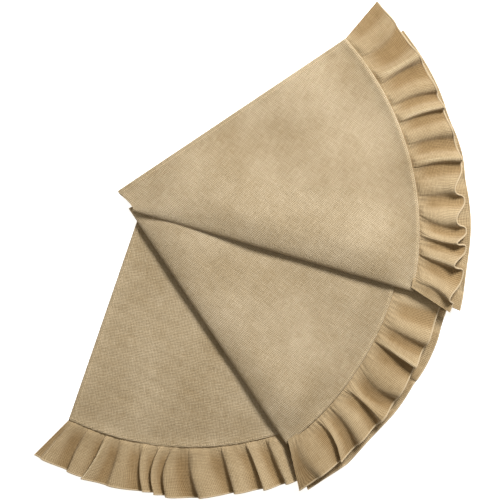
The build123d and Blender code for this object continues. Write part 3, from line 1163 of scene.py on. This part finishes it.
@dataclass
class PanelCloth:
    """Plain cloth of one panel, with its turned edges and its line of stitching."""

    plan: PanelPlan
    box: Workbox
    cell: float = 0.0055       # size of a mesh cell
    swell: float = 0.0030      # height of the low waves that the cloth keeps
    rim: float = 0.0019        # lift of the cloth over its turned edge at the seam
    rim_round: float = 0.0016  # radius that the edge turns under with
    neck_lift: float = 0.0008
    pucker: float = 0.0009     # height of the puckers that the gathers pull in
    stitch_inset: float = 0.005
    slit_stitch_inset: float = 0.007
    painted_seam_shade: float = 0.13   # how much darker the cloth beside the seam is painted, as painted shade

    def rows(self) -> Array:
        """Shares of the way from neck to seam, closer together at both edges.

        Returns:
            Shares from 0 to 1.
        """
        length = 0.47
        close = np.array([0.0, 0.0004, 0.0009, 0.0016, 0.0028, 0.0045, 0.007, 0.0105, 0.0145])
        even = np.arange(0.0195, length - 0.0195, self.cell)
        places = np.concatenate([close, even, length - close[::-1]])
        return places / length

    def plane(self) -> Array:
        """Plane grid of the panel, with columns closer together at the slit.

        Returns:
            Array of rows by columns by 2.
        """
        seam = length_of(self.plan.outer_line(0.0))
        columns = int(seam / self.cell)
        grid = self.plan.grid(self.rows(), columns)
        if self.plan.slit_side() is None:
            return grid
        stops = np.arange(columns, dtype=float)
        close = np.array([0.0, 0.07, 0.16, 0.3, 0.5, 0.8])
        stops = np.concatenate([close, stops[1:]])
        if self.plan.first_fold is not None:
            stops = (columns - 1) - stops[::-1]
        low = np.clip(np.floor(stops).astype(int), 0, columns - 2)
        share = (stops - low)[None, :, None]
        return grid[:, low] * (1.0 - share) + grid[:, low + 1] * share

    def heights(self, grid: Array, to_seam: Array, to_neck: Array) -> Array:
        """Heights of the cloth.

        Args:
            grid: Plane places, any shape by 2.
            to_seam: Distance of each from the seam.
            to_neck: Distance of each from the neck.

        Returns:
            Array of heights.
        """
        plan = self.plan
        calm = plan.near_fold(grid, 0.05)
        slit = plan.slit_inset(grid)
        x, y = grid[..., 0], grid[..., 1]
        waves = self.swell * ripple(x, y, 40 + plan.level, 0.19) * calm
        waves = waves + 0.0007 * ripple(x, y, 60 + plan.level, 0.045) * calm
        lift = self.rim * ease((0.016 - to_seam) / 0.008)
        lift = np.maximum(lift, self.neck_lift * ease((0.013 - to_neck) / 0.006))
        lift = np.maximum(lift, 0.0011 * ease((0.014 - slit) / 0.006)) * plan.near_fold(grid, 0.012)
        flat = plan.flat(grid)
        around = np.arctan2(flat[..., 1], flat[..., 0]) * SEAM_RADIUS
        pull = np.sin(around * 2.0 * math.pi / 0.021 + 3.0 * ripple(x, y, 80, 0.06) * math.pi)
        fading = np.exp(-to_seam / 0.022) * ease(to_seam / 0.004)
        puckers = self.pucker * (0.5 + 0.5 * pull) * fading * plan.near_fold(grid, 0.02)
        edge = np.minimum(np.minimum(to_seam, to_neck), slit)
        share = np.clip(1.0 - edge / self.rim_round, 0.0, 1.0)
        turned_under = 1.0 - np.sqrt(np.clip(1.0 - share * share, 0.0, 1.0))
        dev = waves + lift + puckers
        dev = dev - turned_under * (dev + 0.0004)
        return plan.fold_heights(grid) + plan.up * dev

    def shape(self) -> Array:
        """Places of the mesh, rows by columns by 3.

        Returns:
            The places.
        """
        grid = self.plane()
        length = np.linalg.norm(grid[-1] - grid[0], axis=-1)[None, :]
        shares = self.rows()[:, None]
        height = self.heights(grid, (1.0 - shares) * length, shares * length)
        return np.concatenate([grid, height[..., None]], axis=-1)

    def stitch_line(self) -> Array:
        """Line that the seam's stitches follow, on the good side of the cloth.

        Returns:
            Array of points.
        """
        line = self.plan.inside(self.plan.outer_line(-self.stitch_inset), FOLD_INSET + 0.002)
        height = self.heights(line, np.full(len(line), self.stitch_inset), np.full(len(line), 0.4))
        return np.column_stack([line, height + self.plan.up * (WALL / 2.0 + 0.00015)])

    def slit_line(self) -> Array:
        """Line that the slit's stitches follow.

        Returns:
            Array of points, from the neck to the seam.
        """
        side = self.plan.slit_side()
        neck, seam = side.points()
        across = turned(side.along(), math.pi / 2.0) * (1.0 if self.plan.first_fold is None else -1.0)
        length = np.linalg.norm(seam - neck)
        along = np.linspace(2.0 * NECK_HEM, length - 2.0 * SEAM_ALLOWANCE, 160)
        line = neck + side.along() * along[:, None] + across * self.slit_stitch_inset
        height = self.heights(line, length - along, along)
        return np.column_stack([line, height + self.plan.up * (WALL / 2.0 + 0.00015)])

    def make(self) -> None:
        """Build the cloth, its turned edges and its stitching, and put them on their body."""
        plan, name = self.plan, self.plan.name
        places = self.shape()
        length = np.linalg.norm(places[-1, :, :2] - places[0, :, :2], axis=-1)[None, :]
        to_seam = (1.0 - self.rows()[:, None]) * length
        # Painted highlight along the last few mm at the seam, and a band of painted shade about 30 mm inside
        # it.
        painted_light = 0.5 + (0.3 * np.exp(-(to_seam / 0.0030) ** 2)
                        - self.painted_seam_shade * np.exp(-((to_seam - 0.030) / 0.028) ** 2))
        cloth = sheet_mesh(name + "_cloth", places, plan.flat(places), plan.up > 0, painted_light)
        cloth.data.materials.append(self.box.cloth)
        thicken(cloth, WALL)
        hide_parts(name + "_panel")
        self.put(cloth)

        lines = [self.stitch_line()]
        stood_for = [name + "_topstitch"]
        if plan.slit_side() is not None:
            lines.append(self.slit_line())
            stood_for.append(name + "_slit_stitch")
        stitches = self.box.stitch.make(name + "_stitches", lines, self.box.thread)
        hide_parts(*stood_for)
        self.put(stitches)

        self.seam_turning()
        self.neck_turning()
        if plan.slit_side() is not None:
            self.slit_turning()

    def put(self, piece: bpy.types.Object) -> None:
        """Place a piece on the panel's body."""
        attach(piece, self.plan.name)

    def turning(self, name: str, inner: Array, outer: Array, height: float, wave: float) -> bpy.types.Object:
        """Narrow strip of cloth under an edge.

        Args:
            name: Name of the piece.
            inner: Line of the strip's inner edge.
            outer: Line of its outer edge.
            height: Height of the strip over the panel's base.
            wave: How far its raw edge strays up and down.

        Returns:
            The strip, on its body.
        """
        shares = np.linspace(0.0, 1.0, 5)[:, None, None]
        plane = inner[None] * (1.0 - shares) + outer[None] * shares
        stray = ripple(plane[..., 0], plane[..., 1], 90 + self.plan.level, 0.03) * wave
        places = np.concatenate([plane, (self.plan.base + self.plan.up * (height + stray))[..., None]],
                                axis=-1)
        strip = sheet_mesh(name, places, self.plan.flat(places), self.plan.up > 0)
        strip.data.materials.append(self.box.hem)
        thicken(strip, WALL * 0.7)
        self.put(strip)
        return strip

    def seam_turning(self) -> bpy.types.Object:
        """Raw edges of panel and ruffle, pressed under the panel.

        Returns:
            The strip.
        """
        inner = self.plan.inside(self.plan.outer_line(-SEAM_ALLOWANCE, 260), FOLD_INSET + 0.010)
        outer = self.plan.inside(self.plan.outer_line(-0.0040, 260), FOLD_INSET + 0.010)
        strip = self.turning(self.plan.name + "_seam_turning", inner, outer, 0.00165, 0.0003)
        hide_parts(self.plan.name + "_seam_allowance")
        return strip

    def neck_turning(self) -> bpy.types.Object:
        """Turned hem along the panel's share of the neck.

        Returns:
            The strip.
        """
        grid = self.plan.grid(np.array([0.0, 1.0]), 60)
        way = unit(grid[1] - grid[0])
        strip = self.turning(self.plan.name + "_neck_turning", grid[0] + way * 0.0008,
                             grid[0] + way * (NECK_HEM + 0.0015), 0.0005, 0.0002)
        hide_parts(self.plan.name + "_neck_hem")
        return strip

    def slit_turning(self) -> bpy.types.Object:
        """Turned hem along the edge of the slit.

        Returns:
            The strip.
        """
        side = self.plan.slit_side()
        neck, seam = side.points()
        across = turned(side.along(), math.pi / 2.0) * (1.0 if self.plan.first_fold is None else -1.0)
        length = np.linalg.norm(seam - neck)
        line = neck + side.along() * np.linspace(2.0 * NECK_HEM, length - 2.0 * SEAM_ALLOWANCE, 120)[:, None]
        near, far = line + across * 0.0008, line + across * (SLIT_HEM + 0.0005)
        if self.plan.first_fold is None:
            near, far = far, near
        strip = self.turning(self.plan.name + "_slit_turning", near, far, 0.0005, 0.0002)
        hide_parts(self.plan.name + "_slit_hem")
        return strip


@dataclass
class GatheredRuffle:
    """Gathered ruffle of one panel, with its rolled hem."""

    plan: PanelPlan
    box: Workbox
    style: PleatStyle
    bare: float                # share of the length, from its start, that nothing covers
    seed: int
    covered_rise: float = 0.0034
    samples: int = 26          # points across one pleat
    rows: int = 26
    tuck: float = 0.006        # how far it goes under the panel
    gather: float = 0.0095     # width of the small gathers at the seam
    gather_rise: float = 0.0016
    fan: float = 0.075         # stretch over which the ends turn out
    cover_fade: float = 0.06   # stretch over which the pleats flatten where they go under
    unevenness: float = 0.34   # how much pleats differ in width and height
    curl_until: float = -1.0   # share of the length up to which the hem turns up

    def __post_init__(self) -> None:
        """Work out the lines that the ruffle hangs between, and its pleats."""
        plan = self.plan
        self.pleat = PLEATS[self.style]
        self.seam = plan.outer_line(0.0)
        self.hem = plan.outer_line(RUFFLE_DEPTH)
        self.length = length_of(self.seam)
        along = np.linspace(0.0, length_of(self.hem), len(self.hem))
        for side, distance in ((plan.sides[0], along), (plan.sides[-1], along[::-1])):
            shift = plan.ends(side, RUFFLE_DEPTH, True) - plan.ends(side, RUFFLE_DEPTH, False)
            self.hem = self.hem + shift * (self.turns(side) * np.exp(-distance / self.fan))[:, None]
        self.rng = np.random.default_rng(self.seed)
        self.columns()

    def turns(self, side: Side) -> float:
        """Share of a side's flare that this ruffle takes: the lower of two stops short."""
        fold = self.fold_of(side)
        return 1.0 if fold is None or fold.lower_level == self.plan.level - 1 else 0.55

    def fold_of(self, side: Side) -> Fold | None:
        """The fold on a side, if there is one."""
        return self.plan.first_fold if side is self.plan.sides[0] else self.plan.last_fold

    def columns(self) -> None:
        """Spacing, height and slant of every pleat, and the points across them."""
        count = max(3, round(self.length / self.pleat.spacing))
        widths = self.rng.uniform(1.0 - self.unevenness, 1.0 + self.unevenness, count)
        stops = np.concatenate([[0.0], np.cumsum(widths)]) / widths.sum() * self.length
        heights = self.rng.uniform(1.0 - self.unevenness, 1.0, count)
        slants = self.rng.normal(0.0, 0.16, count + 1) * self.pleat.spacing
        bows = self.rng.normal(0.0, 0.13, count + 1) * self.pleat.spacing
        phase = (np.arange(self.samples) + 0.5) / self.samples
        angle = self.pleat.turn * np.tanh(self.pleat.sharpness * np.sin(2.0 * math.pi * phase))
        angle = angle / math.tanh(self.pleat.sharpness)
        across = np.concatenate([[0.0], np.cumsum(np.cos(angle))])
        across = across / across[-1]
        tall = np.concatenate([[0.0], np.cumsum(np.sin(angle))])
        tall = ((tall - tall.min()) / (tall.max() - tall.min())) ** self.pleat.hollow
        place, rise, slant, bow = [], [], [], []
        for k in range(count):
            last = self.samples + (1 if k == count - 1 else 0)
            place.append(stops[k] + (stops[k + 1] - stops[k]) * across[:last])
            rise.append(heights[k] * tall[:last])
            mix = ease(across[:last])
            slant.append(slants[k] * (1.0 - mix) + slants[k + 1] * mix)
            bow.append(bows[k] * (1.0 - mix) + bows[k + 1] * mix)
        self.place, self.tall = np.concatenate(place), np.concatenate(rise)
        self.slant, self.bow = np.concatenate(slant), np.concatenate(bow)
        if self.bare <= 0.0:
            open_share = np.zeros_like(self.place)
        elif self.bare >= 1.0:
            open_share = np.ones_like(self.place)
        else:
            to_end = self.bare * self.length - self.place
            open_share = ease((to_end + self.cover_fade / 2.0) / self.cover_fade)
        self.rise = self.covered_rise + (self.pleat.rise - self.covered_rise) * open_share
        for side, distance in ((self.plan.sides[0], self.place),
                               (self.plan.sides[-1], self.length - self.place)):
            fold = self.fold_of(side)
            if fold is not None and self.turns(side) < 1.0:
                self.rise = np.minimum(self.rise, self.covered_rise
                                       + (self.rise - self.covered_rise) * ease(distance / 0.06))
            held = 0.25 if fold is not None else 0.4
            self.rise = self.rise * (held + (1.0 - held) * ease(distance / 0.03))

    def depths(self) -> Array:
        """Share of the depth of each row, closer together at the seam and the hem.

        Returns:
            Shares of the depth, negative under the panel.
        """
        even = np.linspace(0.0, 1.0, self.rows)
        eased = even - 0.10 * np.sin(2.0 * math.pi * even) / (2.0 * math.pi) * 2.0
        return np.concatenate([[-self.tuck / RUFFLE_DEPTH, -0.02], eased])

    def shape(self) -> Array:
        """Places of the mesh, rows by columns by 3.

        Returns:
            The places.
        """
        depth = self.depths()[:, None]
        grow = self.pleat.start * ease(depth / 0.09) + (1.0 - self.pleat.start) * np.clip(depth, 0, 1) ** 0.85
        grow = np.where(depth <= 0.0, 0.0, grow)
        height = self.rise * self.tall * grow
        edge = ease(np.minimum(self.place, self.length - self.place) / 0.02)
        line = np.zeros_like(self.place)
        wander = (ripple(self.place, line, self.seed + 5, 0.06) - 0.5) * 0.010
        curl = ease((self.curl_until - self.place / self.length) / 0.10)
        lip = ease((depth - 0.45) / 0.55)
        lean = self.pleat.lean * (1.0 + 0.55 * curl * lip)
        held = np.clip(depth, 0.0, 1.0)
        sideways = (self.slant + wander) * held ** 1.3 + self.bow * np.sin(math.pi * held)
        along = self.place + edge * (lean * height + sideways)
        share = along / self.length
        seam = self.point_on(self.seam, share)
        hem = self.point_on(self.hem, share)
        reach = self.plan.hem_reach * (1.0 + 0.030 * (ripple(self.place, line, self.seed + 9, 0.12)
                                                      - 0.5) * 2.0)
        reach = reach + (0.030 - 0.27 * curl * lip) * (self.tall - 0.5) * self.rise / self.pleat.rise
        reach = reach - 0.17 * curl
        bent = depth * np.where(depth > 0.0, 1.0 + (reach - 1.0) * depth, 1.0)
        plane = seam + (hem - seam) * bent[..., None]
        turns = 2.0 * math.pi * self.place / self.gather
        turns = turns + 5.0 * ripple(self.place, line, self.seed + 3, 0.03)
        small = self.gather_rise * (0.5 + 0.5 * np.sin(turns)) * np.clip(1.0 - depth / 0.42, 0.0, 1.0) ** 1.6
        small = small * ease(depth / 0.03) * np.minimum(1.0, self.rise / 0.006)
        sway = 0.0022 * ripple(plane[..., 0], plane[..., 1], self.seed + 7, 0.07) * np.clip(depth, 0.0, 1.0)
        over = self.past_fold(plane) + 0.004 * curl * lip * self.tall
        dev = 0.0006 + height + small + sway * np.minimum(1.0, self.rise / 0.006) + over
        level = self.plan.base + self.plan.up * dev
        return np.concatenate([plane, level[..., None]], axis=-1)

    def past_fold(self, plane: Array) -> Array:
        """Extra height where the upper ruffle passes over a fold's line.

        Args:
            plane: Points in the plane.

        Returns:
            Extra height of each point.
        """
        extra = np.zeros(plane.shape[:-1])
        for side in (self.plan.sides[0], self.plan.sides[-1]):
            fold = self.fold_of(side)
            if fold is None or fold.lower_level != self.plan.level - 1:
                continue
            out = fold.reach_out(plane)
            bump = 0.0050 if self.plan.up > 0 else 0.0035
            extra = extra + bump * ease((out + 0.050) / 0.045) * np.sqrt(
                np.clip(1.0 - (np.maximum(out, 0.0) / 0.034) ** 2, 0.0, 1.0))
        return extra

    def point_on(self, line: Array, share: Array) -> Array:
        """Points at shares of an evenly spaced line."""
        stops = np.linspace(0.0, 1.0, len(line))
        return np.stack([np.interp(share, stops, line[:, k]) for k in range(2)], axis=-1)

    def grain(self, places: Array) -> Array:
        """Places on the flat strip that the ruffle was cut from: along it and across it.

        Args:
            places: Places of the mesh.

        Returns:
            Array of rows by columns by 2, in metres.
        """
        run = np.linalg.norm(np.diff(places[len(places) // 2], axis=0), axis=1)
        along = np.concatenate([[0.0], np.cumsum(run)])
        depth = self.depths() * RUFFLE_DEPTH
        return np.stack(np.broadcast_arrays(along[None, :] + 0.37 * self.plan.level,
                                            depth[:, None] + 0.21 * self.plan.level), axis=-1)

    def make(self) -> None:
        """Build the ruffle and its rolled hem, and put them on their body."""
        plan, name = self.plan, self.plan.name
        places = self.shape()
        flat = self.grain(places)
        # Painted highlight on the crests of the pleats and painted shade in their hollows, faded near the
        # seam and where the ruffle lies low.
        shown = ease(self.depths()[:, None] / 0.35) * np.minimum(1.0, self.rise / 0.010)
        painted_light = 0.5 + shown * (0.5 * ease((self.tall / self.tall.max() - 0.82) / 0.16)
                                - 0.5 * np.exp(-(self.tall / 0.34) ** 2))
        ruffle = sheet_mesh(name + "_gathered_ruffle", places, flat, plan.up > 0, painted_light)
        ruffle.data.materials.append(self.box.ruffle)
        thicken(ruffle, WALL)
        stood_for = [name + "_ruffle"]
        for fold in (plan.first_fold, plan.last_fold):
            if fold is not None and fold.lower_level == plan.level - 1:
                stood_for.append(fold.name + "_ruffle_turn")
        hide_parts(*stood_for)
        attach(ruffle, name)
        bead = self.box.bead.make(name + "_rolled_hem", [places[-1]], self.box.hem)
        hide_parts(name + "_ruffle_hem")
        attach(bead, name)


@dataclass
class SoftFold:
    """Rolled edge of cloth where one panel turns over into the next."""

    fold: Fold
    lower: PanelPlan
    upper: PanelPlan
    box: Workbox
    columns: int = 120

    def border(self, plan: PanelPlan, share_line: str) -> tuple[Array, Array]:
        """Ends of the strip's border on a panel, at the neck or the seam.

        Args:
            plan: Panel that the border is on.
            share_line: "neck" or "seam".

        Returns:
            The point on the fold's line and the point inside it where the strip ends.
        """
        neck, seam = self.fold.side.points()
        line = plan.neck_line() if share_line == "neck" else plan.outer_line(0.0)
        kept = plan.inside(line)
        start = neck if share_line == "neck" else seam
        near = min((kept[0], kept[-1]), key=lambda point: float(np.linalg.norm(point - start)))
        return start, near

    def shape(self) -> tuple[Array, Array]:
        """Places of the strip and their places on the flat cut.

        Returns:
            Both arrays, the places first.
        """
        fold = self.fold
        insets = np.array([-FOLD_INSET, -0.0055, -0.003])
        angles = np.linspace(0.0, math.pi / 2.0, ROLL_STEPS)
        bulge = FOLD_REACH * np.sin(angles)
        out = np.concatenate([insets, bulge, bulge[-2::-1], insets[::-1]])
        is_upper = np.arange(len(out)) >= len(insets) + len(bulge)
        blend = ease((np.arange(len(out)) - len(insets)) / (2.0 * len(bulge) - 2.0))
        share = np.linspace(0.0, 1.0, self.columns)
        places = np.zeros((len(out), self.columns, 3))
        outer = fold.outer()
        ends = {}
        for key in ("neck", "seam"):
            low_start, low_near = self.border(self.lower, key)
            up_start, up_near = self.border(self.upper, key)
            low = low_start + (low_near - low_start) * np.maximum(-out, 0.0)[:, None] / FOLD_INSET
            up = up_start + (up_near - up_start) * np.maximum(-out, 0.0)[:, None] / FOLD_INSET
            mixed = low * (1.0 - blend[:, None]) + up * blend[:, None]
            ends[key] = mixed + outer * np.maximum(out, 0.0)[:, None]
        mix = share[None, :, None]
        plane = ends["neck"][:, None] * (1.0 - mix) + ends["seam"][:, None] * mix
        places[..., :2] = plane
        along = self.upper.fold_share(fold, plane)
        reach = fold.reach_out(plane)
        low_height, up_height = fold.lower_height(reach), fold.upper_height(reach, along)
        places[..., 2] = np.where(is_upper[:, None], up_height, low_height)
        run = np.linalg.norm(np.diff(places, axis=0), axis=-1)
        from_top = np.concatenate([np.cumsum(run[::-1], axis=0)[::-1], np.zeros((1, self.columns))])
        across = outer @ self.upper.unfold[:, :2].T
        flat = self.upper.flat(places[-1])[None] + across * from_top[..., None]
        return places, flat

    def make(self) -> None:
        """Build the strip between its two panels."""
        places, flat = self.shape()
        anticlockwise = self.fold.outward < 0
        strip = sheet_mesh(self.fold.name + "_cloth", places, flat, anticlockwise)
        strip.data.materials.append(self.box.cloth)
        thicken(strip, WALL)
        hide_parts(self.fold.name)
        neck, _ = self.fold.side.points()
        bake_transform(strip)


# ---------------------------------------------------------------------------------------------
# Studio
# ---------------------------------------------------------------------------------------------

@dataclass
class Studio:
    """Pale floor, soft lights and the camera straight above."""

    camera_height: float = 6.03
    lens: float = 216.0
    centre: tuple[float, float] = (-0.002, -0.003)
    key_power: float = 176.0
    fill_power: float = 8.0
    world: float = 0.30

    def make(self) -> None:
        """Build the floor, lights and camera."""
        self.floor()
        self.light("key_light", (1.45, 2.00, 2.35), self.key_power, 1.0)
        self.light("fill_light", (-2.2, -1.6, 2.8), self.fill_power, 2.4)
        sky = bpy.data.worlds.new("studio")
        sky.use_nodes = True
        back = sky.node_tree.nodes["Background"]
        back.inputs["Color"].default_value = (1.0, 0.93, 0.81, 1.0)
        back.inputs["Strength"].default_value = self.world
        bpy.context.scene.world = sky
        bpy.context.scene.view_settings.view_transform = "Standard"
        lens = bpy.data.cameras.new("camera")
        lens.lens, lens.sensor_width = self.lens, 36.0
        lens.clip_start, lens.clip_end = 0.1, 60.0
        camera = bpy.data.objects.new("camera", lens)
        camera.location = (*self.centre, self.camera_height)
        bpy.context.scene.collection.objects.link(camera)
        bpy.context.scene.camera = camera
        log.info("studio: camera %.2f m above the floor", self.camera_height)

    def floor(self) -> None:
        """Wide pale floor under the skirt."""
        half = 6.0
        mesh = bpy.data.meshes.new("floor")
        mesh.from_pydata([(-half, -half, 0.0), (half, -half, 0.0), (half, half, 0.0), (-half, half, 0.0)],
                         [], [(0, 1, 2, 3)])
        floor = new_object("floor", mesh)
        paper = bpy.data.materials.new("pale_paper")
        paper.use_nodes = True
        surface = paper.node_tree.nodes["Principled BSDF"]
        surface.label = "paper"
        surface.inputs["Base Color"].default_value = (0.93, 0.93, 0.93, 1.0)
        surface.inputs["Roughness"].default_value = 0.9
        surface.inputs["Specular IOR Level"].default_value = 0.1
        surface.inputs["Emission Color"].default_value = (1.0, 1.0, 1.0, 1.0)
        surface.inputs["Emission Strength"].default_value = 0.75
        mesh.materials.append(paper)

    def light(self, name: str, place: tuple[float, float, float], power: float, size: float) -> None:
        """Soft square light that looks at the middle of the skirt.

        Args:
            name: Name of the light.
            place: Where it stands.
            power: Its power in watts.
            size: Its side length.
        """
        lamp = bpy.data.lights.new(name, "AREA")
        lamp.energy, lamp.size = power, size
        made = bpy.data.objects.new(name, lamp)
        made.location = place
        made.rotation_euler = (Vector((0.0, 0.0, 0.0)) - Vector(place)).to_track_quat("-Z", "Y").to_euler()
        bpy.context.scene.collection.objects.link(made)


@dataclass(frozen=True)
class Dressing:
    """How the cloth and the ruffle of one panel lie."""

    swell: float               # how far the cloth stands up in its middle
    rim: float                 # how far it stands up at the seam
    style: PleatStyle
    bare: float = 0.0          # share of the ruffle that nothing covers
    unevenness: float = 0.34
    curl_until: float = -1.0   # share of the ruffle up to which its hem turns up


DRESSINGS = {
    "bottom": Dressing(0.0032, 0.0013, PleatStyle.FLAT, bare=0.44, unevenness=0.5),
    "lower_return": Dressing(0.001, 0.0015, PleatStyle.SOFT),
    "middle": Dressing(0.0042, 0.0017, PleatStyle.SOFT, bare=0.42),
    "upper_return": Dressing(0.001, 0.0015, PleatStyle.SOFT),
    "top": Dressing(0.0048, 0.0022, PleatStyle.KNIFE, bare=1.0, curl_until=0.46),
}


def main() -> None:
    """Build the skirt from the floor up, then the studio."""
    box = Workbox()
    for plan in PLANS:
        dressing = DRESSINGS[plan.name]
        PanelCloth(plan, box, swell=dressing.swell, rim=dressing.rim).make()
        GatheredRuffle(plan, box, dressing.style, dressing.bare,
                       seed=FIRST_SEED + SEED_STEP * plan.level, unevenness=dressing.unevenness,
                       curl_until=dressing.curl_until).make()
    for fold in FOLDS:
        SoftFold(fold, PLANS[fold.lower_level], PLANS[fold.lower_level + 1], box).make()
    Studio().make()


if __name__ == "__main__":
    logging.basicConfig(level=logging.INFO, format="%(name)s: %(message)s")
    main()
